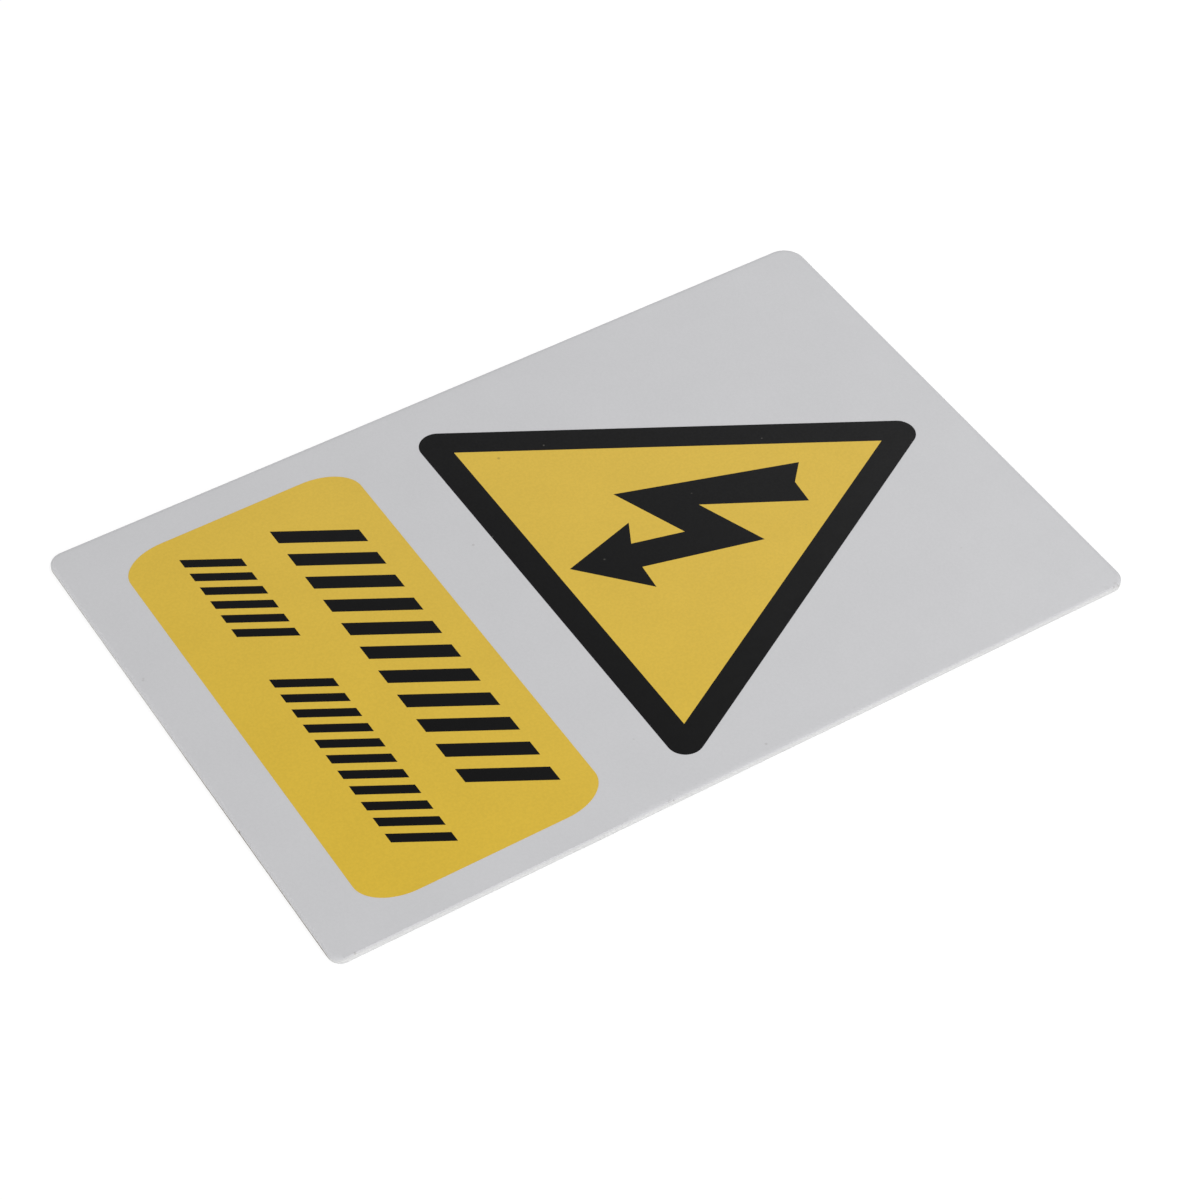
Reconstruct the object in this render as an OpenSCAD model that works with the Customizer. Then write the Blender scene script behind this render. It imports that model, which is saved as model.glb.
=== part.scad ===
// High voltage warning sign: a rigid plastic plate with rounded corners and a printed face.
// It lies on its back: the front is up, +Y runs up the sign, and the origin is the middle of the back.

/* [Plate] */
// Width of the plate
plate_w = 200; // [180:1:225]
// Height of the plate
plate_h = 300; // [285:1:380]
// Thickness of the sheet
plate_t = 2; // [1.2:0.1:5]
// Width of the shoulder that the cutting rolled down along the front edge
edge_roll_w = 1.6; // [1:0.1:1.9]
// Depth of that shoulder where it meets the cut
edge_roll_d = 0.7; // [0.2:0.1:1]
// Radius of the top left corner
corner_r_top_left = 7.8; // [2:0.1:25]
// Radius of the top right corner
corner_r_top_right = 5.8; // [2:0.1:25]
// Radius of the bottom right corner
corner_r_bottom_right = 4.3; // [2:0.1:25]
// Radius of the bottom left corner
corner_r_bottom_left = 5.7; // [2:0.1:25]

/* [Print] */
// Thickness of an ink film
ink_t = 0.05; // [0.02:0.01:0.3]
// How far the caption panel sits to the right of the plate's middle
panel_shift_x = 1.5; // [-4:0.1:4]
// How far the triangle sits to the right of the panel's middle
triangle_shift_x = 0.5; // [-2:0.1:2]

/* [Warning triangle] */
// From the plate's side to the triangle's bottom corner, before that is rounded or shifted
triangle_margin_side = 10.4; // [6:0.1:20]
// From the plate's top edge to the triangle's top corner, before that is rounded
triangle_margin_top = 11.5; // [4:0.1:20]
// Angle at the triangle's top corner
apex_angle = 59.4; // [57:0.1:64]
// Outer radius of the triangle's corners
triangle_corner_r = 6.4; // [1:0.1:16]
// Width of the black border
border_w = 9.7; // [4:0.1:16]

/* [Lightning arrow] */
// From the yellow field's lower edge to the arrow's tip
arrow_gap_tip = 4.8; // [1:0.1:12]
// From the yellow field's top corner to the arrow's top
arrow_gap_top = 30; // [26:0.1:60]
// How far the arrow's tip lies left of the triangle's middle
arrow_tip_left = 4.7; // [2:0.1:8]

/* [Caption panel] */
// From the triangle's lower edge to the panel
panel_gap = 25.1; // [5:0.1:32]
// From the plate's side to the panel, before that is shifted
panel_margin_side = 13.1; // [6:0.1:25]
// From the plate's bottom edge to the panel
panel_margin_bottom = 19; // [6:0.1:26]
// Width of the panel's elliptical corners
panel_corner_w = 11.5; // [2:0.1:20]
// Height of the panel's elliptical corners
panel_corner_h = 17; // [2:0.1:26]

/* [Hazard bars] */
// Slope of the bars
bar_slope = 60; // [45:1:80]
// Height of the upper row
upper_row_h = 26; // [10:0.1:32]
// Height of the lower row
lower_row_h = 18; // [8:0.1:24]
// Share of the panel's bare height that lies above the upper row
above_rows_share = 0.25; // [0.1:0.01:0.4]
// Share of the panel's bare height that lies below the lower row
below_rows_share = 0.43; // [0.1:0.01:0.5]
// From the panel's side to the upper row
upper_row_margin_side = 14.4; // [6:0.1:30]
// From the panel's side to the lower row
lower_row_margin_side = 10.1; // [6:0.1:30]
// Thickness of an upper bar, across its slope
upper_bar_t = 5.6; // [2:0.1:9]
// Least space between upper bars, across their slope
upper_bar_space = 4.9; // [2:0.1:9]
// Thickness of a lower bar, across its slope
lower_bar_t = 3.6; // [1.5:0.1:6]
// Least space between lower bars, across their slope
lower_bar_space = 2.6; // [1.5:0.1:6]
// Length of the lower row's left run
left_run_w = 51.6; // [36:0.1:60]
// Break between the lower row's two runs
run_break_w = 11.6; // [4:0.1:20]

/* [Hidden] */
$fn = 96;

plate_white = [0.79, 0.79, 0.8];
ink_yellow = [0.84, 0.71, 0.31];
ink_black = [0.14, 0.15, 0.145];

// Radius of the rolled shoulder, level with the front where it starts
edge_roll_r = (edge_roll_w ^ 2 + edge_roll_d ^ 2) / (2 * edge_roll_d);

// Width of the strips that carry the rolled shoulder
rim_w = 2 * edge_roll_w;

// Corner radii, clockwise from the top left
corner_radii = [
    corner_r_top_left,
    corner_r_top_right,
    corner_r_bottom_right,
    corner_r_bottom_left
];

// The border's outer triangle, with sharp corners
triangle_w = plate_w - 2 * triangle_margin_side;
triangle_h = triangle_w / 2 / tan(apex_angle / 2);
triangle_base_y = plate_h / 2 - triangle_margin_top - triangle_h;
triangle_x = panel_shift_x + triangle_shift_x;

// The yellow field, one border width inside it
field_h = triangle_h - border_w - border_w / sin(apex_angle / 2);
field_w = 2 * field_h * tan(apex_angle / 2);
field_base_y = triangle_base_y + border_w;

// The panel fills what is left of the plate's height
panel_w = plate_w - 2 * panel_margin_side;
panel_base_y = -plate_h / 2 + panel_margin_bottom;
panel_h = triangle_base_y - panel_gap - panel_base_y;

// The rows of bars stand in the panel with its bare height shared out around them
bare_h = panel_h - upper_row_h - lower_row_h;
lower_row_y = panel_base_y + bare_h * below_rows_share;
upper_row_y = panel_base_y + panel_h - bare_h * above_rows_share - upper_row_h;
upper_row_w = panel_w - 2 * upper_row_margin_side;
lower_row_w = panel_w - 2 * lower_row_margin_side;
right_run_w = lower_row_w - left_run_w - run_break_w;

// The arrow's outline, clockwise from its tip, as shares of its height
arrow_h = field_h - arrow_gap_tip - arrow_gap_top;
arrow_outline_shares = [
    [0, 0],
    [-0.086, 0.303],
    [0.009, 0.254],
    [0.06, 0.45],
    [-0.238, 0.332],
    [-0.018, 1],
    [0.06, 0.93],
    [0.167, 0.92],
    [-0.028, 0.568],
    [0.245, 0.674],
    [0.128, 0.226],
    [0.238, 0.216]
];

// Points along an elliptical arc
arc_steps = 18;
function arc(centre, rx, ry, from, to) = [
    for (i = [0:arc_steps])
    let (a = from + (to - from) * i / arc_steps)
    centre + [rx * cos(a), ry * sin(a)]
];

// Outline of a triangle that stands on its base's middle, each corner rounded to radius r
function rounded_triangle(w, h, apex, r) =
    let (low_x = w / 2 - r / tan(45 - apex / 4))
    concat(
        arc([low_x, r], r, r, -90, apex / 2),
        arc([0, h - r / sin(apex / 2)], r, r, apex / 2, 180 - apex / 2),
        arc([-low_x, r], r, r, 180 - apex / 2, 270)
    );

// Outline of a rectangle that stands on its base's middle, with elliptical corners
function rounded_panel(w, h, rx, ry) = concat(
    arc([w / 2 - rx, h - ry], rx, ry, 0, 90),
    arc([-w / 2 + rx, h - ry], rx, ry, 90, 180),
    arc([-w / 2 + rx, ry], rx, ry, 180, 270),
    arc([w / 2 - rx, ry], rx, ry, 270, 360)
);

// Section of the sheet out to its cut edge: square behind, rolled down in front
module cut_section(w) {
    square([w - edge_roll_w, plate_t]);
    intersection() {
        translate([w - edge_roll_w, plate_t - edge_roll_r])
            circle(edge_roll_r);
        translate([w - edge_roll_w, 0])
            square([edge_roll_w, plate_t]);
    }
}

// One side of the plate, drawn as the top one: a slab from the middle, its rim and its left corner
module plate_side(along, out, r, next_r) {
    straight = 2 * along - r - next_r;
    translate([-along + r, 0, 0])
        cube([straight, out - rim_w, plate_t]);
    translate([-along + r, out - rim_w, 0])
        rotate([90, 0, 90])
            linear_extrude(straight)
                cut_section(rim_w);
    translate([-along + r, out - r, 0])
        rotate(90)
            rotate_extrude(angle = 90)
                cut_section(r);
}

// Places an ink outline on the plate's front, with its own origin at x and y
module ink(x, y) {
    translate([x, y, plate_t])
        linear_extrude(ink_t)
            children();
}

// Sloped bars that fill a run of width w and height h, from its lower left corner
module bar_run(w, h, bar_t, space) {
    bar_w = bar_t / sin(bar_slope);
    lean = h / tan(bar_slope);
    reach = w - lean - bar_w;
    bars = floor(reach * sin(bar_slope) / (bar_t + space));
    for (i = [0:bars])
        translate([reach * i / bars, 0])
            polygon([[0, 0], [bar_w, 0], [bar_w + lean, h], [lean, h]]);
}

// Both rows of bars, from the middle of the panel's width
module bar_rows() {
    translate([-upper_row_w / 2, upper_row_y])
        bar_run(upper_row_w, upper_row_h, upper_bar_t, upper_bar_space);
    translate([-lower_row_w / 2, lower_row_y])
        bar_run(left_run_w, lower_row_h, lower_bar_t, lower_bar_space);
    translate([lower_row_w / 2 - right_run_w, lower_row_y])
        bar_run(right_run_w, lower_row_h, lower_bar_t, lower_bar_space);
}

module field_outline() {
    polygon([[-field_w / 2, 0], [field_w / 2, 0], [0, field_h]]);
}

module arrow() {
    translate([-arrow_tip_left, arrow_gap_tip])
        scale(arrow_h)
            polygon(arrow_outline_shares);
}

module sign_plate() {
    color(plate_white)
        union()
            for (side = [0:3])
                rotate(-90 * side)
                    plate_side(
                        side % 2 == 0 ? plate_w / 2 : plate_h / 2,
                        side % 2 == 0 ? plate_h / 2 : plate_w / 2,
                        corner_radii[side],
                        corner_radii[(side + 1) % 4]
                    );
}

module triangle_border() {
    color(ink_black)
        ink(triangle_x, triangle_base_y)
            difference() {
                polygon(rounded_triangle(triangle_w, triangle_h, apex_angle, triangle_corner_r));
                translate([0, border_w])
                    field_outline();
            }
}

module triangle_field() {
    color(ink_yellow)
        ink(triangle_x, field_base_y)
            difference() {
                field_outline();
                arrow();
            }
}

module lightning_arrow() {
    color(ink_black)
        ink(triangle_x, field_base_y)
            arrow();
}

module caption_panel() {
    color(ink_yellow)
        ink(panel_shift_x, 0)
            difference() {
                translate([0, panel_base_y])
                    polygon(rounded_panel(panel_w, panel_h, panel_corner_w, panel_corner_h));
                bar_rows();
            }
}

module hazard_bars() {
    color(ink_black)
        ink(panel_shift_x, 0)
            bar_rows();
}

sign_plate();
triangle_border();
triangle_field();
lightning_arrow();
caption_panel();
hazard_bars();
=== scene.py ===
import math

import bmesh
import bpy
from bpy.props import FloatProperty, FloatVectorProperty, IntProperty, PointerProperty
from mathutils import Matrix, Vector, noise


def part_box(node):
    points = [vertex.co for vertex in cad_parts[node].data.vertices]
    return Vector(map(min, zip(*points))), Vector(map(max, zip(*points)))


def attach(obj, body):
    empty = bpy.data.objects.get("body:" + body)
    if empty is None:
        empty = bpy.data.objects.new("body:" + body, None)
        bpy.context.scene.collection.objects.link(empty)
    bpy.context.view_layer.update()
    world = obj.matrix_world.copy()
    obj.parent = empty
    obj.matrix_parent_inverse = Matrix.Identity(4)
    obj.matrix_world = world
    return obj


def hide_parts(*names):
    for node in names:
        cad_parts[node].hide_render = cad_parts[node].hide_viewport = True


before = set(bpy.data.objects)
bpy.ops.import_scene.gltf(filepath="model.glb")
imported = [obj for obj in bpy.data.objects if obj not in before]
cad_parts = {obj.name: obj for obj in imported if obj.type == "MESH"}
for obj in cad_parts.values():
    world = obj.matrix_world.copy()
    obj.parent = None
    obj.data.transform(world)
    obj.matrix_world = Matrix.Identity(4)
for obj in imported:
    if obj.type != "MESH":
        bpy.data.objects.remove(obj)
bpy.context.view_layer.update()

bl_info = {
    "name": "High Voltage Warning Sign",
    "version": (1, 0, 0),
    "blender": (4, 5, 0),
    "location": "3D View > Sidebar > Warning Sign",
    "description": "Dresses a printed plastic warning sign and sets its stage",
    "category": "Object",
}

MM = 0.001

# The plate as the CAD has it
PLATE_LOW, PLATE_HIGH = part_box("sign_plate")
FRONT_Z = PLATE_HIGH.z

# Two places nearer than this count as one
TOUCH = 0.001 * MM

YELLOW_PRINT = ("triangle_field", "caption_panel")
BLACK_PRINT = ("triangle_border", "lightning_arrow", "hazard_bars")

# The way in which each ink's painted sheen fades down the sign from its lighter top, and where along
# it the fade starts and ends
YELLOW_SHEEN_FADE = ((0.75, -0.66, 0.0), -60 * MM, 170 * MM)
BLACK_SHEEN_FADE = ((0.74, -0.67, 0.0), -150 * MM, 110 * MM)

# Marks on the sign: x, y, z and radius in mm, then strength from 0 to 1
DIRT_SPECKS = (
    (-60.4, 2.7, 2.0, 0.8, 0.4),
    (21.8, 74.2, 2.0, 0.4, 0.16),
    (95.8, 8.6, 2.0, 0.7, 0.22),
    (-33.4, -146.9, 2.0, 0.6, 0.2),
    (-34.1, -146.5, 2.0, 0.6, 0.15),
    (-29.4, -25.6, 2.0, 0.7, 0.2),
    (71.8, -26.0, 2.0, 0.5, 0.12),
    (58.2, 112.0, 2.0, 0.5, 0.14),
    (-74.4, -71.0, 2.0, 0.4, 0.12),
    (38.5, -150.0, 0.9, 0.8, 0.75),
    (99.6, -28.8, 1.7, 0.45, 0.35),
    (99.6, -30.2, 1.8, 0.9, 0.12),
    (99.5, -142.8, 1.85, 0.7, 0.28),
    (99.6, 144.3, 1.8, 0.5, 0.28),
    (99.6, 145.9, 1.6, 0.9, 0.2),
    (98.4, 145.6, 2.0, 0.8, 0.12),
    (98.5, 142.1, 2.0, 1.2, 0.06),
)
DUST_SPECKS = (
    (-57.7, 19.1, 2.0, 0.45, 0.22),
    (-20.9, 84.6, 2.0, 0.4, 0.14),
    (-29.4, -18.1, 2.0, 0.4, 0.12),
    (-0.4, 8.1, 2.0, 0.5, 0.15),
    (-11.1, 49.6, 2.0, 0.4, 0.12),
)

# Soft lamps: name, power in watts, then place in metres
LAMPS = (
    ("top_lamp", 11.2, (-0.4, 0.9, 1.2)),
    ("right_lamp", 15.0, (1.4, -0.1, 0.55)),
    ("low_lamp", 12.4, (-0.6, -1.5, 0.3)),
)

# Width of the shoulder along each side, as a share of its usual width. On the right side it grows
# from the lower end to the upper one.
RIGHT_SHARE_LOW = 0.32
RIGHT_SHARE_HIGH = 0.5
LEFT_SHARE = 1.25
TOP_SHARE = 1.05
BOTTOM_SHARE = 0.8

# Depth of the shoulder along the right side, as a share of its usual depth
RIGHT_DEPTH = 0.75

# Share of the right side's height at which the chamfer has turned into a rolled shoulder, and the
# share of that height over which it turns
CHAMFER_TOP = 0.7
CHAMFER_FADE = 0.5

# Nicks in the cut edge: x, y, half length and depth in mm
EDGE_NICKS = (
    (38.5, -150.0, 0.6, 0.22),
    (100.0, -29.8, 0.9, 0.25),
    (100.0, -142.7, 0.6, 0.2),
    (100.0, 144.0, 0.5, 0.2),
)

# Share of the shoulder's width up to which the stray of the cut is felt
STRAY_REACH = 0.98

# The quick waves of the cut, as a share of the length and the depth of the slow ones
QUICK_LENGTH = 0.3
QUICK_DEPTH = 0.5

# Fewest steps round a corner, and rows of points between the foot and the top of the wall
CORNER_STEPS = 8
WALL_ROWS = 2

# Bends of the sheet sharper than this are shaded as creases
CREASE_ANGLE = math.radians(35)

# Values that the noise seldom leaves
NOISE_LOW = 0.3
NOISE_HIGH = 0.7

# Sizes of the patterns in the plastic and the inks
CLOUD_SIZE = 25 * MM
GRAIN_SIZE = 0.9 * MM
PEEL_SIZE = 1.1 * MM
SHEET_HAZE_SIZE = 6 * MM
INK_HAZE_SIZE = 5 * MM
SCREEN_MARK_SIZE = 0.3 * MM

# Height of the printing screen's marks beside the peel
SCREEN_MARK_HEIGHT = 0.35

# Drag marks down the raw cut: width, how many times as long they are, and height beside the peel
DRAG_SIZE = 0.35 * MM
DRAG_STRETCH = (1.0, 1.0, 12.0)
DRAG_HEIGHT = 2.5

# Handling scuffs: hairlines up the sign, in patches, and how they press into the white sheet
HAIRLINE_SIZE = 0.5 * MM
HAIRLINE_STRETCH = (1.0, 60.0, 1.0)
HAIRLINE_RANGE = (0.68, 0.78)
SCUFF_PATCH_SIZE = 30 * MM
SCUFF_PATCH_RANGE = (0.5, 0.7)
SCUFF_HEIGHT = -0.4

# Share of a speck's radius that has its full strength, and how its outline is made ragged
SPECK_CORE = 0.25
RAGGED_SCALE = 1800.0
RAGGED_SHIFT = 0.5 * MM

# Dirt and dust on the white sheet and on the inks. The sheet's dirt colour is also the colour of the
# painted contact shade at the foot of the lower cut.
SHEET_DIRT_AND_SHADE = (0.16, 0.13, 0.1, 1.0)
SHEET_DUST = (0.6, 0.58, 0.55, 1.0)
INK_DIRT = (0.1, 0.07, 0.03, 1.0)
INK_DUST = (0.4, 0.38, 0.35, 1.0)

# Roughness over the haze, and what the shoulder and the scuffs add to it
SHEET_ROUGHNESS = (0.44, 0.52)
INK_ROUGHNESS = (0.38, 0.46)
SHOULDER_ROUGHNESS = 0.15
SHEET_SCUFF_ROUGHNESS = 0.1
INK_SCUFF_ROUGHNESS = 0.12

# Height of the orange peel
SHEET_RELIEF = 0.012 * MM
INK_RELIEF = 0.014 * MM

# On the right side the raw cut reaches up to this far below the front. Its top rises to there
# between these distances in from the side.
RIGHT_CUT_DROP = 0.3 * MM
RIGHT_CUT_INSETS = (1.2 * MM, 0.6 * MM)

# Heights about the cut's top between which raw plastic gives way to the shoulder
CUT_BORDER = (-0.1 * MM, 0.05 * MM)

# How far below the front the shoulder's satin is full, and where it starts
SHOULDER_SATIN = (0.25 * MM, 0.02 * MM)

# The dark line at the foot of the lower cut, painted contact shade with some grime: how far up, how
# far in and how near to the right side it starts to fade and has faded, and what is left of it at the
# right corner
SHADE_AND_GRIME_UP = (0.5 * MM, 0.8 * MM)
SHADE_AND_GRIME_IN = (0.3 * MM, 1.0 * MM)
SHADE_AND_GRIME_FROM_RIGHT = (5.5 * MM, 3 * MM)
SHADE_AND_GRIME_AT_CORNER = 0.1

# From the first to the second of these places along the sign, that line grows from the first
# strength to the second
SHADE_AND_GRIME_ALONG = (-40 * MM, 30 * MM)
SHADE_AND_GRIME_STRENGTH = (0.5, 0.95)

# Patches in that line: their size, then the range of the noise and the strengths it is moved to
SHADE_AND_GRIME_PATCH_SIZE = 7 * MM
SHADE_AND_GRIME_PATCHES = (0.3, 0.6, 0.7, 1.0)

# Grey of the floor for the light that it throws back, and its gap below the sign
FLOOR_BOUNCE = 0.9
FLOOR_GAP = 0.05 * MM


class SheetSizes(bpy.types.PropertyGroup):
    roll_width: FloatProperty(
        name="Shoulder Width",
        description="Width of the shoulder that the cutting rolled down along the front edge",
        default=1.6 * MM,
        unit="LENGTH",
    )
    roll_depth: FloatProperty(
        name="Shoulder Depth",
        description="Depth of that shoulder where it meets the cut",
        default=0.7 * MM,
        unit="LENGTH",
    )
    roll_steps: IntProperty(
        name="Shoulder Steps",
        description="Strips across the rolled shoulder",
        default=8,
    )
    shoulder_wander: FloatProperty(
        name="Shoulder Wander",
        description="How far the shoulder's width wanders, as a share of it",
        default=0.2,
    )
    shoulder_length: FloatProperty(
        name="Shoulder Wander Length",
        description="Length over which the shoulder's width wanders",
        default=60 * MM,
        unit="LENGTH",
    )
    edge_step: FloatProperty(
        name="Edge Step",
        description="Spacing of the points along the cut edge",
        default=0.8 * MM,
        unit="LENGTH",
    )
    edge_wander: FloatProperty(
        name="Edge Wander",
        description="How far the cut strays inwards along the edge",
        default=0.06 * MM,
        unit="LENGTH",
    )
    wander_length: FloatProperty(
        name="Wander Length",
        description="Length over which the cut strays",
        default=6 * MM,
        unit="LENGTH",
    )
    face_inset: FloatProperty(
        name="Flat Margin",
        description="Width of the flat strip that keeps the faces' shading level",
        default=1.5 * MM,
        unit="LENGTH",
    )
    gloss: FloatProperty(
        name="Plastic Gloss",
        description="Specular level of the white sheet",
        default=0.1,
    )
    colour: FloatVectorProperty(
        name="Plastic Colour",
        description="Colour of the white sheet's face",
        default=(0.588, 0.588, 0.602),
        subtype="COLOR",
    )
    cut_colour: FloatVectorProperty(
        name="Cut Colour",
        description="Colour of the raw plastic on the cut edge",
        default=(0.62, 0.62, 0.62),
        subtype="COLOR",
    )


class PrintInks(bpy.types.PropertyGroup):
    # The top colour of each ink holds a painted sheen that its low colour lacks, and the sheen fades
    # down the sign
    yellow: FloatVectorProperty(
        name="Yellow",
        description="Colour of the yellow ink at the top of the sign",
        default=(0.682, 0.469, 0.072),
        subtype="COLOR",
    )
    # The low yellow is deeper than the top yellow because the top one holds painted sheen
    low_yellow: FloatVectorProperty(
        name="Low Yellow",
        description="Colour of the yellow ink at the bottom of the sign, where it lies thicker",
        default=(0.679, 0.462, 0.046),
        subtype="COLOR",
    )
    black: FloatVectorProperty(
        name="Black",
        description="Colour of the black ink at the top of the sign",
        default=(0.009, 0.009, 0.0094),
        subtype="COLOR",
    )
    low_black: FloatVectorProperty(
        name="Low Black",
        description="Colour of the black ink at the bottom of the sign",
        default=(0.0012, 0.0012, 0.0013),
        subtype="COLOR",
    )
    yellow_gloss: FloatProperty(
        name="Yellow Gloss",
        description="Specular level of the yellow ink",
        default=0.08,
    )
    black_gloss: FloatProperty(
        name="Black Gloss",
        description="Specular level of the black ink",
        default=0.05,
    )
    yellow_grain: FloatProperty(
        name="Yellow Grain",
        description="Fine change of the yellow ink's tone, as a share of it",
        default=0.026,
    )
    black_grain: FloatProperty(
        name="Black Grain",
        description="Fine change of the black ink's tone, as a share of it",
        default=0.15,
    )


class StageSettings(bpy.types.PropertyGroup):
    floor_size: FloatProperty(
        name="Floor",
        description="Width of the floor",
        default=8.0,
        unit="LENGTH",
    )
    lamp_level: FloatProperty(
        name="Lamp Level",
        description="Power of each soft lamp, as a share of its own",
        default=1.0,
    )
    lamp_size: FloatProperty(
        name="Lamp Size",
        description="Width of each soft lamp",
        default=0.9,
        unit="LENGTH",
    )
    floor_tone: FloatProperty(
        name="Floor Tone",
        description="Grey of the floor where it is seen, which sets how dark the sign's shadow looks",
        default=0.25,
    )
    floor_lift: FloatProperty(
        name="Floor Lift",
        description="Share of white that the floor adds to that grey",
        default=0.81,
    )
    sky_strength: FloatProperty(
        name="Sky",
        description="Strength of the even light from all round",
        default=0.3,
    )
    lens: FloatProperty(
        name="Lens",
        description="Focal length on a 36 mm sensor",
        default=106.02,
    )
    distance: FloatProperty(
        name="Camera Distance",
        description="From the point aimed at to the camera",
        default=1.16527,
        unit="LENGTH",
    )
    aim: FloatVectorProperty(
        name="Camera Aim",
        description="Point of the sign's face that the camera is aimed at, just beside its middle",
        default=(14.56 * MM, -3.0 * MM, FRONT_Z),
        subtype="XYZ",
        unit="LENGTH",
    )
    azimuth: FloatProperty(
        name="Camera Azimuth",
        description="Turn of the view round the sign, from its lower edge towards its right side",
        default=math.radians(58.28),
        subtype="ANGLE",
    )
    elevation: FloatProperty(
        name="Camera Elevation",
        description="Height of the view above the sign's face",
        default=math.radians(46.75),
        subtype="ANGLE",
    )
    roll: FloatProperty(
        name="Camera Roll",
        description="Tilt of the camera about its own line of sight",
        default=math.radians(-0.204),
        subtype="ANGLE",
    )


def feed(tree, socket, value):
    """Links a socket to another one, or sets it to a value"""
    if isinstance(value, bpy.types.NodeSocket):
        tree.links.new(value, socket)
    else:
        socket.default_value = value


def add_node(tree, kind, settings=None, **sockets):
    """Adds a shader node, sets its own settings, then its sockets by name with values or links"""
    made = tree.nodes.new(kind)
    for name, value in (settings or {}).items():
        setattr(made, name, value)
    for name, value in sockets.items():
        feed(tree, made.inputs[name.replace("_", " ")], value)
    return made


def calculate(tree, operation, *values):
    """A sum on numbers, with its values in the order of the node's sockets"""
    made = add_node(tree, "ShaderNodeMath", {"operation": operation})
    for socket, value in zip(made.inputs, values):
        feed(tree, socket, value)
    return made.outputs["Value"]


def calculate_vector(tree, operation, *values, **sockets):
    """The node of a sum on vectors, with its values in the order of the node's sockets"""
    made = add_node(tree, "ShaderNodeVectorMath", {"operation": operation}, **sockets)
    for socket, value in zip(made.inputs, values):
        feed(tree, socket, value)
    return made


def multiply(tree, product, *others):
    """The product of all the values"""
    for value in others:
        product = calculate(tree, "MULTIPLY", product, value)
    return product


def map_range(tree, value, low, high, to_low=0.0, to_high=1.0):
    """The value moved smoothly from one range to another, and held at the ends"""
    made = add_node(
        tree,
        "ShaderNodeMapRange",
        {"interpolation_type": "SMOOTHSTEP"},
        Value=value,
        From_Min=low,
        From_Max=high,
        To_Min=to_low,
        To_Max=to_high,
    )
    return made.outputs["Result"]


def over_noise(tree, value, low, high):
    """The noise's usual range moved to another one"""
    return map_range(tree, value, NOISE_LOW, NOISE_HIGH, low, high)


def mix_colour(tree, share, first, second):
    made = add_node(tree, "ShaderNodeMix", {"data_type": "RGBA"})
    # The node has sockets for every kind of data, of which 6, 7 and output 2 are the colours
    feed(tree, made.inputs[0], share)
    feed(tree, made.inputs[6], first)
    feed(tree, made.inputs[7], second)
    return made.outputs[2]


def noise_on(tree, coords, size, detail=2.0, stretch=(1.0, 1.0, 1.0)):
    """Noise whose features are about size metres across, made longer by stretch"""
    scale = [1.0 / (size * longer) for longer in stretch]
    scaled = add_node(tree, "ShaderNodeMapping", Vector=coords, Scale=scale)
    made = add_node(
        tree,
        "ShaderNodeTexNoise",
        Vector=scaled.outputs["Vector"],
        Scale=1.0,
        Detail=detail,
        Roughness=0.55,
    )
    return made.outputs["Fac"]


def speck_mask(tree, coords, specks):
    """The strongest of several specks at each point, with ragged outlines"""
    mask = None
    for x, y, z, size, strength in specks:
        away = calculate_vector(tree, "DISTANCE", coords, (x * MM, y * MM, z * MM)).outputs["Value"]
        speck = map_range(tree, away, size * MM * SPECK_CORE, size * MM, strength, 0.0)
        mask = speck if mask is None else calculate(tree, "MAXIMUM", mask, speck)
    return mask


def wear_group():
    """Dirt, dust and handling marks that run over plastic and ink alike"""
    tree = bpy.data.node_groups.new("sign_wear", "ShaderNodeTree")
    for name in ("Dirt", "Dust", "Scuff"):
        tree.interface.new_socket(name, in_out="OUTPUT", socket_type="NodeSocketFloat")
    coords = tree.nodes.new("ShaderNodeTexCoord").outputs["Object"]
    ragged = add_node(tree, "ShaderNodeTexNoise", Vector=coords, Scale=RAGGED_SCALE, Detail=1.0)
    shift = (RAGGED_SHIFT,) * 3
    half_shift = (RAGGED_SHIFT / 2,) * 3
    shifted = calculate_vector(tree, "MULTIPLY_ADD", ragged.outputs["Color"], shift, coords)
    centred = calculate_vector(tree, "SUBTRACT", shifted.outputs["Vector"], half_shift)
    place = centred.outputs["Vector"]
    hairlines = noise_on(tree, coords, HAIRLINE_SIZE, detail=1.0, stretch=HAIRLINE_STRETCH)
    patches = noise_on(tree, coords, SCUFF_PATCH_SIZE, detail=1.0)
    scuff = multiply(
        tree,
        map_range(tree, hairlines, *HAIRLINE_RANGE),
        map_range(tree, patches, *SCUFF_PATCH_RANGE),
    )
    out = tree.nodes.new("NodeGroupOutput")
    tree.links.new(speck_mask(tree, place, DIRT_SPECKS), out.inputs["Dirt"])
    tree.links.new(speck_mask(tree, place, DUST_SPECKS), out.inputs["Dust"])
    tree.links.new(scuff, out.inputs["Scuff"])
    return tree


def surface(name, specular):
    """A new material with its shader, the shared wear and the coordinates that its patterns read"""
    material = bpy.data.materials.new(name)
    material.use_nodes = True
    tree = material.node_tree
    tree.nodes.clear()
    shader = tree.nodes.new("ShaderNodeBsdfPrincipled")
    shader.inputs["Specular IOR Level"].default_value = specular
    out = tree.nodes.new("ShaderNodeOutputMaterial")
    tree.links.new(shader.outputs["BSDF"], out.inputs["Surface"])
    wear = tree.nodes.new("ShaderNodeGroup")
    wear.node_tree = bpy.data.node_groups.get("sign_wear") or wear_group()
    coords = tree.nodes.new("ShaderNodeTexCoord").outputs["Object"]
    return material, tree, shader, wear, coords


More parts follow.
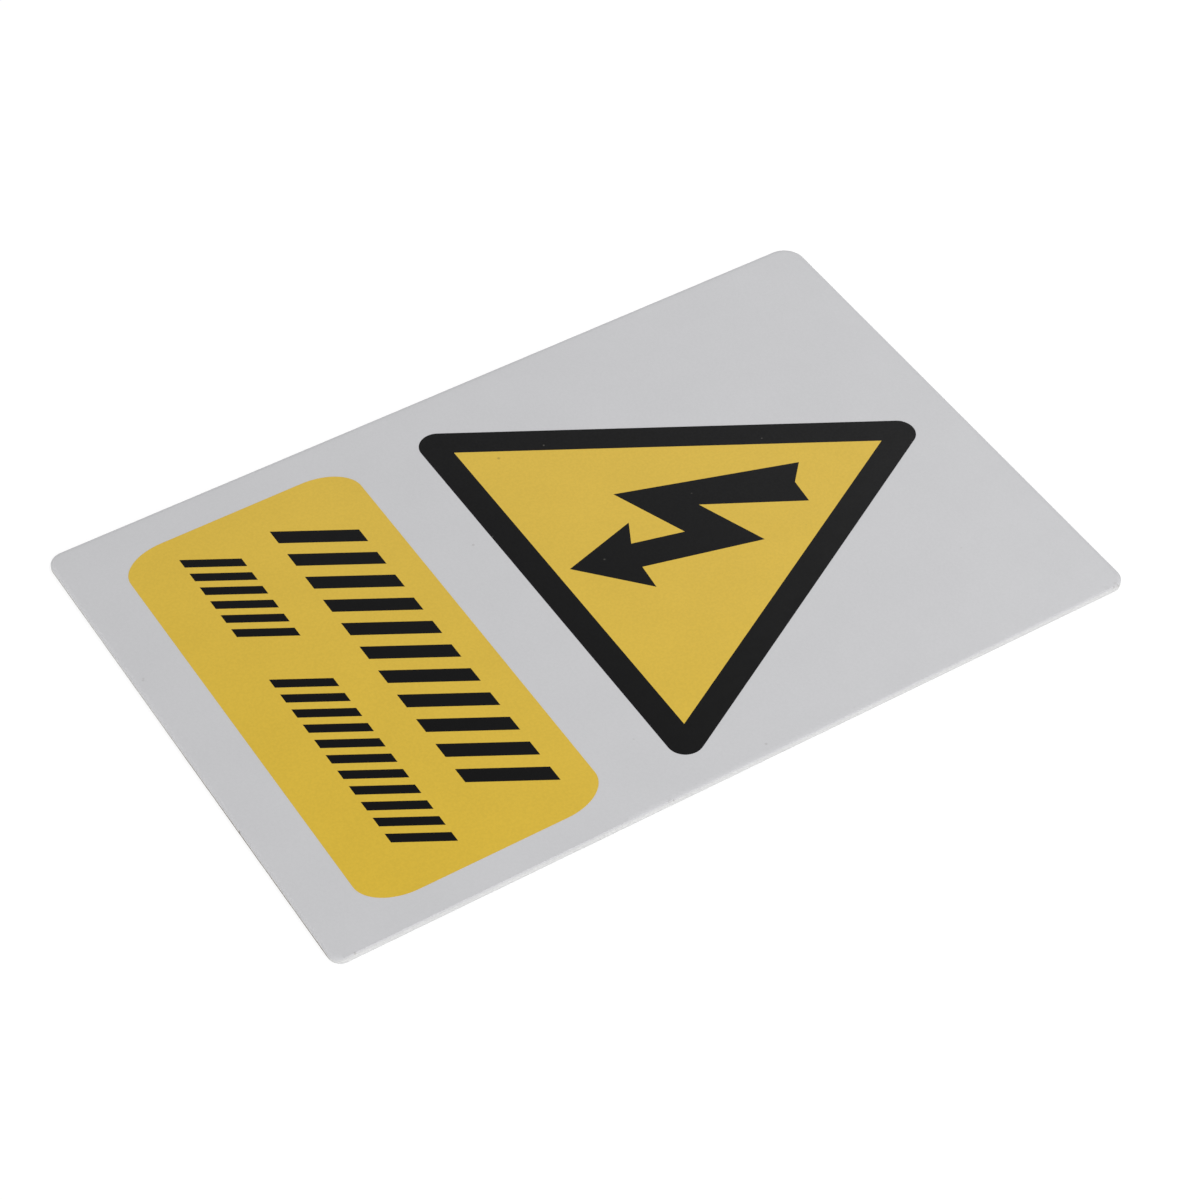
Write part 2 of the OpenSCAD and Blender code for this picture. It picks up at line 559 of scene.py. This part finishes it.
def toned(tree, coords, colour, cloud, grain):
    """The colour with a slow cloudy change of tone and a fine grain, each a share of it"""
    slow = noise_on(tree, coords, CLOUD_SIZE)
    fine = noise_on(tree, coords, GRAIN_SIZE)
    tone = calculate(
        tree,
        "ADD",
        over_noise(tree, slow, 1.0 - cloud, 1.0 + cloud),
        over_noise(tree, fine, -grain, grain),
    )
    return calculate_vector(tree, "SCALE", colour, Scale=tone).outputs["Vector"]


def soiled(tree, wear, base, dirt, dust):
    """The colour with the shared wear's dirt and dust on it"""
    dirty = mix_colour(tree, wear.outputs["Dirt"], base, dirt)
    return mix_colour(tree, wear.outputs["Dust"], dirty, dust)


def bumped(tree, shader, height, distance):
    made = add_node(tree, "ShaderNodeBump", Height=height, Distance=distance, Strength=1.0)
    tree.links.new(made.outputs["Normal"], shader.inputs["Normal"])


def foot_shade_and_grime(tree, place, coords):
    """Painted contact shade with some grime, as a dark line at the foot of the lower cut, fainter on
    the left and gone at the right corner
    """
    x, y, z = place.outputs
    low = map_range(tree, z, *SHADE_AND_GRIME_UP, 1.0, 0.0)
    on_cut = map_range(tree, y, *(PLATE_LOW.y + inset for inset in SHADE_AND_GRIME_IN), 1.0, 0.0)
    ends = [PLATE_HIGH.x - inset for inset in SHADE_AND_GRIME_FROM_RIGHT]
    before_corner = map_range(tree, x, *ends, 1.0, SHADE_AND_GRIME_AT_CORNER)
    to_right = map_range(tree, x, *SHADE_AND_GRIME_ALONG, *SHADE_AND_GRIME_STRENGTH)
    patchy = map_range(tree, noise_on(tree, coords, SHADE_AND_GRIME_PATCH_SIZE), *SHADE_AND_GRIME_PATCHES)
    return multiply(tree, low, on_cut, before_corner, to_right, patchy)


def raw_cut(tree, place, sheet):
    """1 on the cut wall and 0 on the shoulder, whose foot lies higher on the right side"""
    left_top = FRONT_Z - sheet.roll_depth
    right_top = FRONT_Z - RIGHT_CUT_DROP
    rise = [PLATE_HIGH.x - inset for inset in RIGHT_CUT_INSETS]
    wall_top = map_range(tree, place.outputs["X"], *rise, left_top, right_top)
    above_wall = calculate(tree, "SUBTRACT", place.outputs["Z"], wall_top)
    return map_range(tree, above_wall, *CUT_BORDER, 1.0, 0.0)


def white_plastic(sheet):
    """Satin white sheet, with raw plastic where it was cut"""
    material, tree, shader, wear, coords = surface("white_plastic", sheet.gloss)
    scuff = wear.outputs["Scuff"]
    place = add_node(tree, "ShaderNodeSeparateXYZ", Vector=coords)
    cut = raw_cut(tree, place, sheet)
    satin = [FRONT_Z - drop for drop in SHOULDER_SATIN]
    shoulder = map_range(tree, place.outputs["Z"], *satin, 1.0, 0.0)
    face = toned(tree, coords, sheet.colour, cloud=0.008, grain=0.012)
    raw = toned(tree, coords, sheet.cut_colour, cloud=0.02, grain=0.04)
    base = mix_colour(tree, cut, face, raw)
    # Painted contact shade, with some grime, darkens the foot of the lower cut
    shaded_and_grimy = mix_colour(tree, foot_shade_and_grime(tree, place, coords), base, SHEET_DIRT_AND_SHADE)
    tree.links.new(soiled(tree, wear, shaded_and_grimy, SHEET_DIRT_AND_SHADE, SHEET_DUST), shader.inputs["Base Color"])
    haze = noise_on(tree, coords, SHEET_HAZE_SIZE, detail=3.0)
    rough = over_noise(tree, haze, *SHEET_ROUGHNESS)
    rough = calculate(tree, "MULTIPLY_ADD", shoulder, SHOULDER_ROUGHNESS, rough)
    rough = calculate(tree, "MULTIPLY_ADD", scuff, SHEET_SCUFF_ROUGHNESS, rough)
    tree.links.new(rough, shader.inputs["Roughness"])
    peel = noise_on(tree, coords, PEEL_SIZE)
    drag = noise_on(tree, coords, DRAG_SIZE, stretch=DRAG_STRETCH)
    relief = calculate(tree, "MULTIPLY_ADD", multiply(tree, drag, cut), DRAG_HEIGHT, peel)
    relief = calculate(tree, "MULTIPLY_ADD", scuff, SCUFF_HEIGHT, relief)
    bumped(tree, shader, relief, SHEET_RELIEF)
    return material


def printed_ink(name, colour, low_colour, sheen_fade, specular, grain):
    """Satin ink that follows the plastic's faint orange peel, with a painted sheen that makes it
    lighter at the top of the sign and fades down it
    """
    material, tree, shader, wear, coords = surface(name, specular)
    way, start, end = sheen_fade
    along = calculate_vector(tree, "DOT_PRODUCT", coords, way).outputs["Value"]
    share = map_range(tree, along, start, end)
    # Painted sheen: the ink's colour at the top of the sign is lighter and fades to its low colour
    # down it
    sheened = mix_colour(tree, share, (*colour, 1.0), (*low_colour, 1.0))
    base = toned(tree, coords, sheened, cloud=0.012, grain=grain)
    tree.links.new(soiled(tree, wear, base, INK_DIRT, INK_DUST), shader.inputs["Base Color"])
    haze = noise_on(tree, coords, INK_HAZE_SIZE, detail=3.0)
    rough = over_noise(tree, haze, *INK_ROUGHNESS)
    rough = calculate(tree, "MULTIPLY_ADD", wear.outputs["Scuff"], INK_SCUFF_ROUGHNESS, rough)
    tree.links.new(rough, shader.inputs["Roughness"])
    peel = noise_on(tree, coords, PEEL_SIZE)
    screen_marks = noise_on(tree, coords, SCREEN_MARK_SIZE, detail=1.0)
    relief = calculate(tree, "MULTIPLY_ADD", screen_marks, SCREEN_MARK_HEIGHT, peel)
    bumped(tree, shader, relief, INK_RELIEF)
    return material


def paint(piece, material):
    piece.data.materials.clear()
    piece.data.materials.append(material)


def mesh_from(bm, name):
    mesh = bpy.data.meshes.new(name)
    bm.to_mesh(mesh)
    bm.free()
    return mesh


def add_object(name, data):
    made = bpy.data.objects.new(name, data)
    bpy.context.scene.collection.objects.link(made)
    return made


def corner_radii():
    """Radius of each plate corner by its x and y sign, read from where the CAD's straight edges end"""
    points = [v.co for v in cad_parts["sign_plate"].data.vertices]
    radii = {}
    for sy, edge_y in ((1, PLATE_HIGH.y), (-1, PLATE_LOW.y)):
        on_edge = [p.x for p in points if abs(p.y - edge_y) < TOUCH]
        radii[(-1, sy)] = min(on_edge) - PLATE_LOW.x
        radii[(1, sy)] = PLATE_HIGH.x - max(on_edge)
    return radii


def sheet_outline(bm, sheet, radii):
    """The plate's flat outline as one face, its corners rounded and its sides cut into short steps"""
    places = ((-1, -1), (1, -1), (1, 1), (-1, 1))
    corners = {}
    for sx, sy in places:
        x = PLATE_HIGH.x if sx > 0 else PLATE_LOW.x
        y = PLATE_HIGH.y if sy > 0 else PLATE_LOW.y
        corners[(sx, sy)] = bm.verts.new((x, y, PLATE_LOW.z))
    bm.faces.new([corners[place] for place in places])
    for place in places:
        arc_length = radii[place] * math.pi / 2
        bmesh.ops.bevel(
            bm,
            geom=[corners[place]],
            offset=radii[place],
            offset_type="OFFSET",
            segments=max(CORNER_STEPS, round(arc_length / sheet.edge_step)),
            profile=0.5,
            affect="VERTICES",
            material=-1,
        )
    for edge in list(bm.edges):
        cuts = round(edge.calc_length() / sheet.edge_step) - 1
        if cuts > 0:
            bmesh.ops.subdivide_edges(bm, edges=[edge], cuts=cuts)
    return bm.faces[:]


def roll_shoulder(bm, front, sheet):
    """Brings the front in and up from the walls by insets that follow the shoulder's arc"""
    radius = (sheet.roll_width**2 + sheet.roll_depth**2) / (2 * sheet.roll_depth)
    tilt = math.asin(sheet.roll_width / radius)
    inwards = upwards = 0.0
    for step in range(1, sheet.roll_steps + 1):
        angle = tilt * (1 - step / sheet.roll_steps)
        next_in = sheet.roll_width - radius * math.sin(angle)
        next_up = sheet.roll_depth - radius * (1 - math.cos(angle))
        bmesh.ops.inset_region(
            bm,
            faces=front,
            thickness=next_in - inwards,
            depth=next_up - upwards,
            use_even_offset=True,
        )
        inwards = next_in
        upwards = next_up


def rim_place(point, radii):
    """How far a point lies in from the plate's outline, and the way outwards there"""
    side_x = math.copysign(1, point.x)
    side_y = math.copysign(1, point.y)
    radius = radii[(side_x, side_y)]
    to_x = PLATE_HIGH.x - abs(point.x)
    to_y = PLATE_HIGH.y - abs(point.y)
    if max(to_x, to_y) < radius:
        out = Vector((side_x * (radius - to_x), side_y * (radius - to_y), 0.0))
        return radius - out.length, out.normalized()
    if to_x < to_y:
        return to_x, Vector((side_x, 0.0, 0.0))
    return to_y, Vector((0.0, side_y, 0.0))


def uneven_shoulder(bm, sheet, radii):
    """Makes the shoulder wider or narrower along each side, and a chamfer low on the right one"""
    for vert in bm.verts:
        if vert.co.z < FRONT_Z - sheet.roll_depth - TOUCH:
            continue
        inset, out = rim_place(vert.co, radii)
        upwards = (vert.co.y - PLATE_LOW.y) / (PLATE_HIGH.y - PLATE_LOW.y)
        right_share = RIGHT_SHARE_LOW + (RIGHT_SHARE_HIGH - RIGHT_SHARE_LOW) * upwards
        across = right_share if out.x > 0 else LEFT_SHARE
        along = TOP_SHARE if out.y > 0 else BOTTOM_SHARE
        share = across * out.x**2 + along * out.y**2
        share *= 1.0 + sheet.shoulder_wander * noise.noise(vert.co / sheet.shoulder_length)
        on_right = max(0.0, out.x) ** 2
        chamfer = on_right * min(1.0, max(0.0, (CHAMFER_TOP - upwards) / CHAMFER_FADE))
        rolled = FRONT_Z - vert.co.z
        straight = sheet.roll_depth * max(0.0, 1.0 - inset / sheet.roll_width)
        drop = rolled + chamfer * (straight - rolled)
        vert.co.z = FRONT_Z - drop * (1.0 - (1.0 - RIGHT_DEPTH) * on_right)
        vert.co += out * (1.0 - share) * min(inset, sheet.roll_width)


def stray_cut(bm, sheet, radii):
    """Lets the cut wander inwards and nicks it, well inside the plate's own box"""
    for vert in bm.verts:
        inset, out = rim_place(vert.co, radii)
        if inset > STRAY_REACH * sheet.roll_width:
            continue
        fade = 1.0 - inset / sheet.roll_width
        slow = noise.noise(vert.co / sheet.wander_length)
        quick = noise.noise(vert.co / (QUICK_LENGTH * sheet.wander_length))
        waves = max(-1.0, min(1.0, slow + QUICK_DEPTH * quick))
        depth = sheet.edge_wander * fade * (1.0 + waves) / 2
        upwards = min(1.0, vert.co.z / FRONT_Z)
        for x, y, half, nick in EDGE_NICKS:
            away = (vert.co.xy - Vector((x, y)) * MM).length / (half * MM)
            if away < 1.0:
                depth += nick * MM * (1.0 - away * away) * upwards * fade
        vert.co -= out * depth


class WARNING_SIGN_OT_cut_sheet(bpy.types.Operator):
    """Model the cut plastic sheet, with its rolled shoulder and its nicks"""

    bl_idname = "warning_sign.cut_sheet"
    bl_label = "Cut Sheet"

    def execute(self, context):
        sheet = context.scene.sign_sheet
        bm = bmesh.new()
        radii = corner_radii()
        back = sheet_outline(bm, sheet, radii)
        raised = bmesh.ops.extrude_face_region(bm, geom=back)
        front = [f for f in raised["geom"] if isinstance(f, bmesh.types.BMFace)]
        wall_height = FRONT_Z - PLATE_LOW.z - sheet.roll_depth
        bmesh.ops.translate(bm, verts=front[0].verts, vec=(0.0, 0.0, wall_height))
        bmesh.ops.recalc_face_normals(bm, faces=bm.faces[:])
        roll_shoulder(bm, front, sheet)
        for face in (*back, *front):
            bmesh.ops.inset_region(bm, faces=[face], thickness=sheet.face_inset, use_even_offset=True)
        rise = {edge: abs(edge.verts[0].co.z - edge.verts[1].co.z) for edge in bm.edges}
        upright = [edge for edge in bm.edges if rise[edge] > wall_height / 2]
        bmesh.ops.subdivide_edges(bm, edges=upright, cuts=WALL_ROWS, use_grid_fill=True)
        uneven_shoulder(bm, sheet, radii)
        stray_cut(bm, sheet, radii)
        bmesh.ops.triangulate(
            bm,
            faces=[f for f in bm.faces if len(f.verts) > 4],
            quad_method="BEAUTY",
            ngon_method="BEAUTY",
        )
        mesh = mesh_from(bm, "plastic_sheet")
        mesh.shade_smooth()
        mesh.set_sharp_from_angle(angle=CREASE_ANGLE)
        piece = add_object("plastic_sheet", mesh)
        paint(piece, white_plastic(sheet))
        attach(piece, "root")
        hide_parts("sign_plate")
        return {"FINISHED"}


class WARNING_SIGN_OT_print_inks(bpy.types.Operator):
    """Give each printed field its ink"""

    bl_idname = "warning_sign.print_inks"
    bl_label = "Print Inks"

    def execute(self, context):
        inks = context.scene.sign_inks
        yellow = printed_ink(
            "yellow_ink",
            inks.yellow,
            inks.low_yellow,
            YELLOW_SHEEN_FADE,
            inks.yellow_gloss,
            inks.yellow_grain,
        )
        black = printed_ink(
            "black_ink",
            inks.black,
            inks.low_black,
            BLACK_SHEEN_FADE,
            inks.black_gloss,
            inks.black_grain,
        )
        for name in YELLOW_PRINT:
            paint(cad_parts[name], yellow)
        for name in BLACK_PRINT:
            paint(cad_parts[name], black)
        return {"FINISHED"}


def seen_directly(tree):
    """1 for rays that the camera, a reflection or clear glass sends out, and otherwise 0"""
    path = tree.nodes.new("ShaderNodeLightPath").outputs
    seen = calculate(tree, "MAXIMUM", path["Is Camera Ray"], path["Is Glossy Ray"])
    return calculate(tree, "MAXIMUM", seen, path["Is Transmission Ray"])


def pale_floor(stage):
    """A floor that shows as white, apart from the sign's faint shadow"""
    bm = bmesh.new()
    bmesh.ops.create_grid(bm, x_segments=1, y_segments=1, size=stage.floor_size / 2)
    bmesh.ops.translate(bm, verts=bm.verts, vec=(0.0, 0.0, PLATE_LOW.z - FLOOR_GAP))
    floor = add_object("floor", mesh_from(bm, "floor"))
    material = bpy.data.materials.new("pale_floor")
    material.use_nodes = True
    tree = material.node_tree
    tree.nodes.clear()
    seen = seen_directly(tree)
    bounce = (FLOOR_BOUNCE, FLOOR_BOUNCE, FLOOR_BOUNCE, 1.0)
    shown = (stage.floor_tone, stage.floor_tone, stage.floor_tone, 1.0)
    diffuse = add_node(tree, "ShaderNodeBsdfDiffuse", Color=mix_colour(tree, seen, bounce, shown))
    lift = add_node(tree, "ShaderNodeEmission", Strength=multiply(tree, seen, stage.floor_lift))
    both = tree.nodes.new("ShaderNodeAddShader")
    tree.links.new(diffuse.outputs["BSDF"], both.inputs[0])
    tree.links.new(lift.outputs["Emission"], both.inputs[1])
    out = tree.nodes.new("ShaderNodeOutputMaterial")
    tree.links.new(both.outputs["Shader"], out.inputs["Surface"])
    paint(floor, material)


def even_sky(stage):
    """Even light from all round, which shows as plain white"""
    world = bpy.data.worlds.new("even_sky")
    bpy.context.scene.world = world
    world.use_nodes = True
    tree = world.node_tree
    background = tree.nodes["Background"]
    background.inputs["Color"].default_value = (1.0, 1.0, 1.0, 1.0)
    seen = seen_directly(tree)
    rest = 1.0 - stage.sky_strength
    strength = calculate(tree, "MULTIPLY_ADD", seen, rest, stage.sky_strength)
    tree.links.new(strength, background.inputs["Strength"])


def soft_lamp(name, energy, size, place):
    """A round soft lamp that points at the middle of the sign"""
    light = bpy.data.lights.new(name, "AREA")
    light.shape = "DISK"
    light.size = size
    light.energy = energy
    lamp = add_object(name, light)
    lamp.location = place
    lamp.rotation_euler = (-Vector(place)).to_track_quat("-Z", "Y").to_euler()


def photo_camera(stage):
    """The camera at the photograph's view"""
    data = bpy.data.cameras.new("camera")
    data.sensor_width = 36.0
    data.lens = stage.lens
    camera = add_object("camera", data)
    back = Vector(
        (
            math.sin(stage.azimuth) * math.cos(stage.elevation),
            -math.cos(stage.azimuth) * math.cos(stage.elevation),
            math.sin(stage.elevation),
        )
    )
    turn = (-back).to_track_quat("-Z", "Y").to_matrix() @ Matrix.Rotation(stage.roll, 3, "Z")
    camera.matrix_world = Matrix.Translation(Vector(stage.aim) + back * stage.distance) @ turn.to_4x4()
    bpy.context.scene.camera = camera


class WARNING_SIGN_OT_set_stage(bpy.types.Operator):
    """Lay the floor, light the sign and place the camera"""

    bl_idname = "warning_sign.set_stage"
    bl_label = "Set Stage"

    def execute(self, context):
        stage = context.scene.sign_stage
        context.scene.view_settings.view_transform = "Standard"
        pale_floor(stage)
        even_sky(stage)
        for name, energy, place in LAMPS:
            soft_lamp(name, energy * stage.lamp_level, stage.lamp_size, place)
        photo_camera(stage)
        return {"FINISHED"}


class WARNING_SIGN_PT_panel(bpy.types.Panel):
    """Buttons that build the sign"""

    bl_label = "Warning Sign"
    bl_space_type = "VIEW_3D"
    bl_region_type = "UI"
    bl_category = "Warning Sign"

    def draw(self, context):
        layout = self.layout
        for settings, operator in (
            (context.scene.sign_sheet, WARNING_SIGN_OT_cut_sheet),
            (context.scene.sign_inks, WARNING_SIGN_OT_print_inks),
            (context.scene.sign_stage, WARNING_SIGN_OT_set_stage),
        ):
            box = layout.box()
            for name in settings.__annotations__:
                box.prop(settings, name)
            box.operator(operator.bl_idname)


CLASSES = (
    SheetSizes,
    PrintInks,
    StageSettings,
    WARNING_SIGN_OT_cut_sheet,
    WARNING_SIGN_OT_print_inks,
    WARNING_SIGN_OT_set_stage,
    WARNING_SIGN_PT_panel,
)


def register():
    for cls in CLASSES:
        bpy.utils.register_class(cls)
    bpy.types.Scene.sign_sheet = PointerProperty(type=SheetSizes)
    bpy.types.Scene.sign_inks = PointerProperty(type=PrintInks)
    bpy.types.Scene.sign_stage = PointerProperty(type=StageSettings)


def unregister():
    del bpy.types.Scene.sign_stage
    del bpy.types.Scene.sign_inks
    del bpy.types.Scene.sign_sheet
    for cls in reversed(CLASSES):
        bpy.utils.unregister_class(cls)


def main():
    register()
    bpy.ops.warning_sign.cut_sheet()
    bpy.ops.warning_sign.print_inks()
    bpy.ops.warning_sign.set_stage()


if __name__ == "__main__":
    main()
